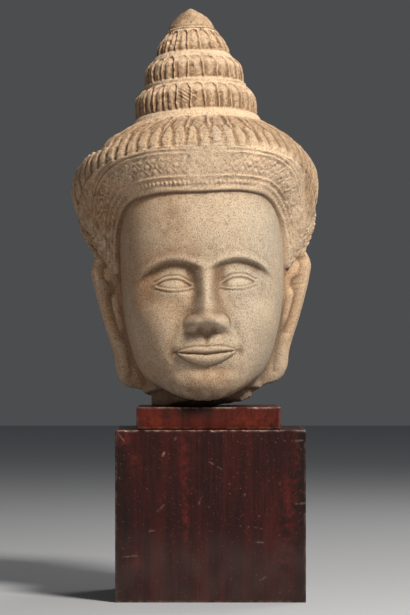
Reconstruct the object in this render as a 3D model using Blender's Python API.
"""Carved stone deity head with a tiered crown, resting on a two-step wooden plinth.

Metres, +Z up, face towards -Y, origin at the centre of the plinth's underside.
The head is one closed skin. Its face, ears and neck are found along rays that leave the
head's own axis and meet a blend of simple forms. Its crown is swept round the same axis.
"""

from math import cos, pi, radians, sin

import bpy
import numpy as np

# Plinth
BLOCK_WIDTH = 0.155
BLOCK_DEPTH = 0.155
BLOCK_HEIGHT = 0.140
CAP_WIDTH = 0.118
CAP_DEPTH = 0.118
CAP_HEIGHT = 0.018
CAP_SHIFT_X = -0.0016
BLOCK_BEVEL = 0.0012
CAP_BEVEL = 0.0016
GAP = 0.0003
CAP_LOW = BLOCK_HEIGHT + GAP
REST_Z = CAP_LOW + CAP_HEIGHT + GAP

# Head: its size and how it stands
FACE_HEIGHT = 0.170
HEAD_SINK = 0.0010
HEAD_SHIFT_X = -0.0062
HEAD_SHIFT_Y = -0.0060
HEAD_PITCH_DEGREES = 5.5
HEAD_ROLL_DEGREES = 2.0
HEAD_YAW_DEGREES = 2.5

# Carving round the crown
DOME_PETALS = 40
TIER_PETALS = (26, 23, 20)
PETAL_DEPTH = 2.6

# Detail of the skin
RINGS = 0.5
COLUMNS = 300
TRIANGLES = 9300

# Inside the head's own drawing one unit is FACE_HEIGHT / FACE_UNITS, about a millimetre.
# Its z starts at the chin, and its axis is the crown's.
FACE_UNITS = 170.0
UNIT = FACE_HEIGHT / FACE_UNITS
WAIST = 62.0
JAW_SLOPE = 0.45
NECK_HALF_WIDTH = 49.0
NECK_HALF_DEPTH = 44.0
NECK_CENTRE_Y = 10.0
EYE_X = 26.4
EYE_Z = 94.5
EYE_HALF = 14.0
MOUTH_Z = 37.4
MOUTH_HALF = 25.0
TIER_BOTTOMS = ((51.2, 245.4), (41.8, 272.4), (30.9, 297.6))
TIER_TOPS = ((45.6, 267.8), (36.6, 292.6), (23.2, 316.4))
APEX_Z = 338.0
CONE_SHIFT_X = 3.6


def curve(x, *points):
    """A smooth line through (x, value) points, level beyond its ends."""
    at, value = np.array(points, float).T
    slope = np.gradient(value, at)
    x = np.clip(x, at[0], at[-1])
    i = np.clip(np.searchsorted(at, x, side="right") - 1, 0, len(at) - 2)
    step = at[i + 1] - at[i]
    t = (x - at[i]) / step
    rise = value[i + 1] - value[i]
    return (
        value[i]
        + rise * t * t * (3 - 2 * t)
        + step * t * (1 - t) * (slope[i] * (1 - t) - slope[i + 1] * t)
    )


def ramp(start, end, x):
    t = np.clip((x - start) / (end - start), 0, 1)
    return t * t * (3 - 2 * t)


def bell(x, centre, width):
    return np.exp(-(((x - centre) / width) ** 2))


def meet(a, b, soft):
    """Both forms at once: their larger distance, rounded where they cross."""
    h = np.clip(0.5 + 0.5 * (a - b) / soft, 0, 1)
    return b + (a - b) * h + soft * h * (1 - h)


def join(a, b, soft):
    return -meet(-a, -b, soft)


def stand():
    """The turn that puts the head's own drawing upright on the plinth."""
    a, b, c = (
        radians(angle)
        for angle in (HEAD_PITCH_DEGREES, HEAD_ROLL_DEGREES, HEAD_YAW_DEGREES)
    )
    pitch = np.array([[1, 0, 0], [0, cos(a), sin(a)], [0, -sin(a), cos(a)]])
    roll = np.array([[cos(b), 0, -sin(b)], [0, 1, 0], [sin(b), 0, cos(b)]])
    yaw = np.array([[cos(c), -sin(c), 0], [sin(c), cos(c), 0], [0, 0, 1]])
    return yaw @ roll @ pitch


def face_relief(x, z):
    """How far the carved features stand out from the plain head, seen from the front."""
    x = np.abs(x)
    u = (x - EYE_X) / EYE_HALF
    # Brow: a crisp edge over a hollow that fades into the cheek
    brow = curve(x, (0, 103.5), (7, 107), (17, 113.5), (28, 116), (42, 112.5), (56, 102))
    drop = brow - z
    hollow = ramp(-0.8, 3.2, drop) * (1 - ramp(13, 36, drop)) * (1 - ramp(40, 60, x))
    out = -5.2 * hollow
    out = out + 1.2 * bell(drop, -2.5, 3.5) * (1 - ramp(46, 60, x))
    out = out - 4.2 * bell(x, 12.5, 5.5) * bell(z, 97, 9)
    # Eye: a ball under its lids, with a rim round the opening
    out = out + 6.0 * np.exp(-(np.abs(u * 0.80) ** 2.5)) * bell(z, EYE_Z - 0.3, 8.6)
    bow = 1 - np.minimum(np.abs(u), 1) ** 2.2
    upper = z - (EYE_Z + 1.0 * u + 4.9 * bow)
    lower = (EYE_Z + 1.0 * u - 3.3 * bow) - z
    rim = np.maximum(upper, lower)
    span = 1 - ramp(0.93, 1.08, np.abs(u))
    out = out - 1.0 * (1 - ramp(-0.9, 0.3, rim)) * span
    out = out - 0.75 * bell(rim, -0.1, 0.7) * span
    # Nose: a straight ridge, a rounded tip and two wings
    low_ridge = ((55, 0), (57, 5), (60, 12.8), (65, 16), (72, 14.2))
    ridge = curve(z, *low_ridge, (84, 10.6), (96, 7.2), (106, 3.6), (116, 0.6), (124, 0))
    width = curve(z, (56, 13.5), (64, 11.5), (74, 8.6), (90, 6.6), (104, 7.2), (116, 11))
    out = out + ridge * np.exp(-((x / width) ** 2.5))
    out = out + 1.8 * bell(x, 0, 7.5) * bell(z, 63.5, 5.5)
    wing = np.hypot((x - 10.8) / 5.6, (z - 61.2) / 6.2)
    out = out + 6.5 * np.exp(-(wing**2.6)) * ramp(54.5, 57.5, z)
    out = out - 0.9 * bell(wing, 1.45, 0.22) * ramp(5, 12, x) * ramp(57, 61, z)
    out = out - 3.5 * bell(x, 6.2, 2.7) * bell(z, 56.4, 1.9)
    # Mouth: the muzzle behind it, two lips and the line between them
    out = out + 4.6 * bell(x, 0, 27) * bell(z, 42, 19)
    out = out - 1.0 * bell(x, 0, 2.6) * bell(z, 49.5, 6)
    m = np.minimum(x / MOUTH_HALF, 1.0)
    line = MOUTH_Z + 1.9 * m**2.2 - 0.9 * bell(x, 0, 4)
    top = line + 6.9 * (1 - m**1.7) ** 0.85 - 1.1 * bell(x, 0, 3) + 0.3
    under = line - 8.7 * (1 - m**2.3) ** 0.9 - 0.3
    end = 1 - ramp(0.9, 1.02, x / MOUTH_HALF)
    up = (z - line) / (top - line)
    down = (line - z) / (line - under)
    out = out + 3.3 * np.sqrt(np.clip(4 * up * (1 - up), 0, 1)) * end
    out = out + 4.2 * np.sqrt(np.clip(4 * down * (1 - down), 0, 1)) * end
    out = out - 1.5 * bell(z, line, 0.9) * (1 - ramp(0.95, 1.12, x / MOUTH_HALF))
    out = out - 1.9 * bell(x, MOUTH_HALF + 2.5, 3.6) * bell(z, MOUTH_Z + 2, 4.5)
    # Chin, cheeks and the fold beside the mouth
    out = out - 2.6 * bell(x, 0, 19) * bell(z, 24.5, 4.2)
    out = out + 4.8 * bell(x, 0, 17) * bell(z, 12.5, 9)
    out = out + 3.2 * bell(x, 41, 17) * bell(z, 66, 18)
    along = 24 + 0.42 * (60 - z)
    out = out - 0.9 * bell(x, along, 4.5) * ramp(38, 48, z) * (1 - ramp(58, 68, z))
    return out


def ear(x, y, z):
    """Distance outside the two long ears, which lie back beside the jaw."""
    x = np.abs(x)
    lobe = ((18, 55), (20, 63), (24, 69), (30, 73), (48, 76.3), (72, 83))
    outer = curve(z, *lobe, (92, 87.5), (110, 91.7), (118, 93), (126, 90.8), (133, 86.5), (140, 80))
    root = curve(z, (20, 53), (60, 60), (100, 68), (135, 70))
    e = outer - x
    plain = curve(z, (20, 9), (60, 4), (100, -6), (135, -7)) + 0.64 * (x - root)
    cut = plain - 1.9 * bell(e, 3.2, 2.6) * ramp(50, 62, z)
    cut = cut + 1.8 * bell(e, 7.6, 2.2) * ramp(58, 70, z) * (1 - ramp(120, 126, z))
    cut = cut + 5.5 * bell(x, 79, 4.4) * bell(z, 101, 6.5)
    slab = meet(cut - y, (y - plain - 13 - 1.1 * np.clip(e, 0, 26)) * 0.8, 5)
    slab = meet(slab, root - 12 - x, 5)
    slab = meet(slab, x - outer, 5)
    return meet(slab, 17.5 - z, 4)


def break_level(x, y):
    """Where the neck is broken off: level where it rests, ragged at the right and the rim."""
    turn = stand()
    level = (HEAD_SINK / UNIT - turn[2, 0] * x - turn[2, 1] * y) / turn[2, 2]
    lift = curve(x, (4, 0), (14, 1.2), (30, 4.6), (38, 7), (43, 12), (50, 16))
    lift = lift + 5 * ramp(-16, -32, y) + 4 * ramp(42, 54, y)
    ragged = 0.9 * np.sin(0.31 * x + 1.2) * np.sin(0.27 * y) + 0.5 * np.sin(0.7 * x + 0.6 * y)
    return level + lift + ragged * np.clip(lift / 4, 0, 1)


def head_form(x, y, z):
    """Distance outside the head below its crown."""
    chin = ((-4, 20), (6, 33), (18, 44), (35, 54))
    half = curve(z, *chin, (55, 61), (80, 66), (110, 68.5), (150, 68), (180, 64))
    jawline = ((-4, 62), (12, 70), (28, 71), (45, 73.5), (70, 75.5))
    front = curve(z, *jawline, (95, 77), (113, 80), (140, 83.5), (160, 82.5), (180, 79))
    back = curve(z, (-4, 50), (45, 64), (80, 79), (115, 85), (150, 85), (180, 82))
    power = np.where(y < 0, 2.35, 2.05)
    depth = np.where(y < 0, front, back)
    r = np.hypot(x, y)
    rho = ((np.abs(x) / half) ** power + (np.abs(y) / depth) ** power) ** (1 / power)
    skull = r - r / np.maximum(rho, 1e-6)
    skull = skull - face_relief(x, z) * ramp(-12, -44, y)
    jaw = (JAW_SLOPE * np.maximum(y + 60, 0) - 1.5 - z) * 0.91
    skull = meet(skull, jaw, 11)
    wide = NECK_HALF_WIDTH - 6 * (1 - ramp(12.6, 14.6, z + 0.02 * y))
    neck = np.hypot(x / wide, (y - NECK_CENTRE_Y) / NECK_HALF_DEPTH)
    neck = np.maximum((neck - 1) * wide, z - 80)
    form = join(skull, neck, 7)
    form = join(form, ear(x, y, z), 5)
    return meet(form, break_level(x, y) - z, 1.2)


def reach(angle, lift, start_z):
    """Distance from the axis, along each ray, to the outermost skin of the head's form."""
    across, up = np.cos(lift), np.sin(lift)

    def inside(r):
        x, y = r * across * np.sin(angle), -r * across * np.cos(angle)
        return head_form(x, y, start_z + r * up) < 0

    high = np.full(angle.shape, 128.0)
    low = np.full(angle.shape, 4.0)
    open_rays = np.ones(angle.shape, bool)
    for r in np.linspace(128.0, 4.0, 46):
        hit = open_rays & inside(np.full(angle.shape, r))
        low[hit] = r
        high[open_rays & ~hit] = r
        open_rays &= ~hit
    for _ in range(13):
        middle = (low + high) / 2
        hit = inside(middle)
        low = np.where(hit, middle, low)
        high = np.where(hit, high, middle)
    return (low + high) / 2


def edge_z(degrees):
    """Height of the diadem's lower edge: level on the brow, down the temple, over the ear."""
    brow = ((0, 169.6), (30, 170.2), (45, 168), (55, 163), (63, 155), (70, 144))
    temple = ((76, 129), (80, 117), (84, 113), (88, 119))
    return curve(degrees, *brow, *temple, (93, 130), (106, 131), (120, 122), (180, 120))


def dome_point(side, u):
    """Radius and height of the dome from the diadem's crest (0) to the cone's foot (1)."""
    front_r = curve(u, (0, 97), (0.2, 93.5), (0.4, 85), (0.6, 74.5), (0.8, 64), (1, 54.2))
    front_z = curve(u, (0, 206), (0.2, 214.5), (0.4, 222.5), (0.6, 229.5), (0.8, 235), (1, 239))
    side_r = curve(u, (0, 100), (0.2, 104), (0.4, 101), (0.6, 89.5), (0.8, 72), (1, 54.2))
    side_z = curve(u, (0, 162), (0.2, 181), (0.4, 199.5), (0.6, 215), (0.8, 227), (1, 239))
    return front_r + (side_r - front_r) * side, front_z + (side_z - front_z) * side


def petal(turns, v, half_width, height):
    """Relief of one upright petal: a groove round it and a full middle."""
    a = np.abs(turns - np.floor(turns) - 0.5) * 2
    arch = np.sqrt(np.clip(1 - (np.clip(v - 0.62, 0, 1) / 0.38) ** 2, 0, 1))
    inside = np.minimum((arch - a) * half_width, (1 - v) * height)
    return PETAL_DEPTH * (ramp(-0.4, 2.6, inside) - 0.5)


def diadem_relief(s):
    """Raised lines and sunken bands of the diadem, by the distance up from its lower edge."""
    out = 0.7 * bell(s, 5.8, 3.2) + 0.9 * bell(s, 11.6, 1.6) - 0.5 * bell(s, 21.5, 9)
    return out + 0.9 * bell(s, 32.4, 2.2)


def columns(count):
    """Angles round the head, closer together over the face's middle and the ears."""
    at = np.linspace(0, 180, 721)
    density = 1 + 0.5 * (1 - ramp(10, 26, at)) + 1.0 * ramp(78, 84, at) * (1 - ramp(104, 110, at))
    density = density - 0.45 * ramp(112, 130, at)
    total = np.concatenate([[0], np.cumsum((density[1:] + density[:-1]) / 2)])
    half = np.interp(np.linspace(0, total[-1], count // 2 + 1), total, at)
    return np.concatenate([-half[::-1], half[1:-1]])


def head_rows(degrees, fine):
    """Every ring of points of the head in its own drawing, from the neck's break to the apex."""
    angle = np.radians(degrees)
    off = np.abs(degrees)
    rings = []

    def ring(radius, height, shift=0.0):
        points = np.empty((len(angle), 3))
        points[:, 0] = radius * np.sin(angle) + shift
        points[:, 1] = -radius * np.cos(angle)
        points[:, 2] = height
        rings.append(points)

    # Neck, jaw and chin, on rays that swing up from straight down
    for lift in np.radians(-88 + 88 * np.linspace(0, 1, int(80 * fine)) ** 0.9)[:-1]:
        r = reach(angle, np.full(angle.shape, lift), WAIST)
        ring(r * cos(lift), WAIST + r * sin(lift))
    # Face and ears, on level rays, up to the diadem's edge
    edge = edge_z(off)
    for t in np.linspace(0, 1, int(118 * fine)):
        height = WAIST + (edge - 0.5 - WAIST) * t
        radius = reach(angle, np.zeros(angle.shape), height)
        ring(radius, height)
    # Diadem, from its edge to its crest
    last = radius
    side = curve(off, (0, 0), (25, 0.02), (40, 0.11), (60, 0.28), (76, 0.58), (86, 0.93), (93, 1), (180, 1))
    crest_r, crest_z = dome_point(side, np.zeros(angle.shape))
    proud = curve(off, (0, 3.6), (60, 3.4), (84, 4), (92, 0.8), (106, 0.8), (118, 3), (180, 3))
    start = last + proud
    rise = np.hypot(crest_r - start, crest_z - edge)
    ring(last + 0.5, edge)
    ring(start - 0.9, edge + 0.1)
    belly = curve(off, (0, 0.4), (80, 1.5), (100, 3.2), (180, 3))
    for t in np.linspace(0, 1, int(44 * fine)):
        radius = start + (crest_r - start) * t + belly * sin(pi * t)
        height = edge + 0.6 + (crest_z - edge - 0.6) * t
        out = diadem_relief(t * rise)
        ring(radius + out * ramp(0, 0.04, t), height)
    # Dome of petals
    for u in np.linspace(0, 1, int(54 * fine))[1:]:
        radius, height = dome_point(side, np.full(angle.shape, u))
        near = dome_point(side, np.full(angle.shape, min(u + 0.01, 1.0)))
        tilt = np.arctan2(near[1] - height, radius - near[0] + 1e-6)
        turns = degrees / 360 * DOME_PETALS + 0.5
        out = petal(turns, u, radius * pi / DOME_PETALS, 52)
        out = out - 0.9 * bell(u, 0.03, 0.03)
        out = out * (1 - ramp(0.9, 1.0, u))
        chip = np.hypot((degrees + 84) * 1.7, (u - 0.56) * 62)
        out = out - 3.4 * (1 - ramp(5, 10, chip))
        ring(radius + out * np.sin(tilt), height + out * np.cos(tilt), CONE_SHIFT_X * ramp(0.3, 1, u))
    # Collar and three tiers of petals, each on a ledge
    ring(53.6, 241.4, CONE_SHIFT_X)
    ring(52.2, 243.2, CONE_SHIFT_X)
    ring(49.8, 244.2, CONE_SHIFT_X)
    for k, ((low_r, low_z), (top_r, top_z)) in enumerate(zip(TIER_BOTTOMS, TIER_TOPS)):
        count = TIER_PETALS[k]
        for v in np.linspace(0, 1, int(26 * fine)):
            swell = 1.9 * sin(pi * v**0.8)
            radius = low_r + (top_r - low_r) * v**1.9 + swell
            turns = degrees / 360 * count + 0.5
            out = petal(turns, v, radius * pi / count, top_z - low_z)
            height = low_z + (top_z - low_z) * v
            ring(radius + out * (1 - ramp(0.93, 1, v)), height, CONE_SHIFT_X)
        foot_r, foot_z = (TIER_BOTTOMS[k + 1] if k < 2 else (19.8, 319.5))
        ring(top_r - 1.6, top_z + 1.5, CONE_SHIFT_X)
        ring(foot_r + 1.6, foot_z - 1.9, CONE_SHIFT_X)
        ring(foot_r - 0.9, foot_z - 0.8, CONE_SHIFT_X)
    # Bud
    for t in np.linspace(0, 1, int(22 * fine))[:-1]:
        radius = 19.6 * (1 - t**1.55) ** 0.8
        ring(radius, 320 + (APEX_Z - 320) * t, CONE_SHIFT_X)
    return rings


def place(points):
    """From the head's own drawing to its place on the plinth, in metres."""
    return (points * UNIT) @ stand().T + np.array([HEAD_SHIFT_X, HEAD_SHIFT_Y, REST_Z - HEAD_SINK])


def skin(rings, foot, tip):
    """One closed mesh through the rings, with a point at each end."""
    wide = len(rings[0])
    points = np.concatenate([*rings, [foot], [tip]])
    here = np.arange(wide)
    nxt = (here + 1) % wide
    faces = []
    for row in range(len(rings) - 1):
        a, b = row * wide, (row + 1) * wide
        faces += np.stack([a + here, a + nxt, b + nxt, b + here], axis=1).tolist()
    end = (len(rings) - 1) * wide
    low, high = len(points) - 2, len(points) - 1
    faces += np.stack([here * 0 + low, nxt, here], axis=1).tolist()
    faces += np.stack([here * 0 + high, end + here, end + nxt], axis=1).tolist()
    return points, faces


def material(name, colour, roughness):
    made = bpy.data.materials.new(name)
    made.use_nodes = True
    shader = made.node_tree.nodes["Principled BSDF"]
    shader.inputs["Base Color"].default_value = (*colour, 1)
    shader.inputs["Roughness"].default_value = roughness
    return made


def add(name, points, faces, finish, smooth):
    mesh = bpy.data.meshes.new(name)
    mesh.from_pydata(points, [], faces)
    mesh.validate()
    piece = bpy.data.objects.new(name, mesh)
    bpy.context.scene.collection.objects.link(piece)
    mesh.materials.append(finish)
    if smooth:
        mesh.shade_smooth()
    return piece


def box(name, size, centre_x, low_z, bevel, finish):
    x, y, z = size[0] / 2, size[1] / 2, size[2]
    corners = [(sx, sy, sz) for sz in (0, 1) for sy in (-1, 1) for sx in (-1, 1)]
    points = [(centre_x + sx * x, sy * y, low_z + sz * z) for sx, sy, sz in corners]
    faces = [(0, 2, 3, 1), (4, 5, 7, 6), (0, 1, 5, 4), (2, 6, 7, 3), (0, 4, 6, 2), (1, 3, 7, 5)]
    piece = add(name, points, faces, finish, False)
    edge = piece.modifiers.new("worn edges", "BEVEL")
    edge.width = bevel
    edge.segments = 2
    return piece


def main():
    for old in list(bpy.data.objects):
        bpy.data.objects.remove(old)
    wood = material("block_wood", (0.055, 0.014, 0.011), 0.35)
    cap_wood = material("cap_wood", (0.13, 0.02, 0.012), 0.4)
    stone = material("stone", (0.46, 0.36, 0.25), 0.9)
    box("plinth_block", (BLOCK_WIDTH, BLOCK_DEPTH, BLOCK_HEIGHT), 0, 0, BLOCK_BEVEL, wood)
    box("plinth_cap", (CAP_WIDTH, CAP_DEPTH, CAP_HEIGHT), CAP_SHIFT_X, CAP_LOW, CAP_BEVEL, cap_wood)
    rings = head_rows(columns(COLUMNS), RINGS)
    foot = rings[0].mean(axis=0)
    points, faces = skin(rings, foot, (CONE_SHIFT_X, 0, APEX_Z))
    head = add("stone_head", place(points), faces, stone, True)
    thin = head.modifiers.new("fewer faces", "DECIMATE")
    thin.ratio = TRIANGLES / (2 * len(faces))


main()
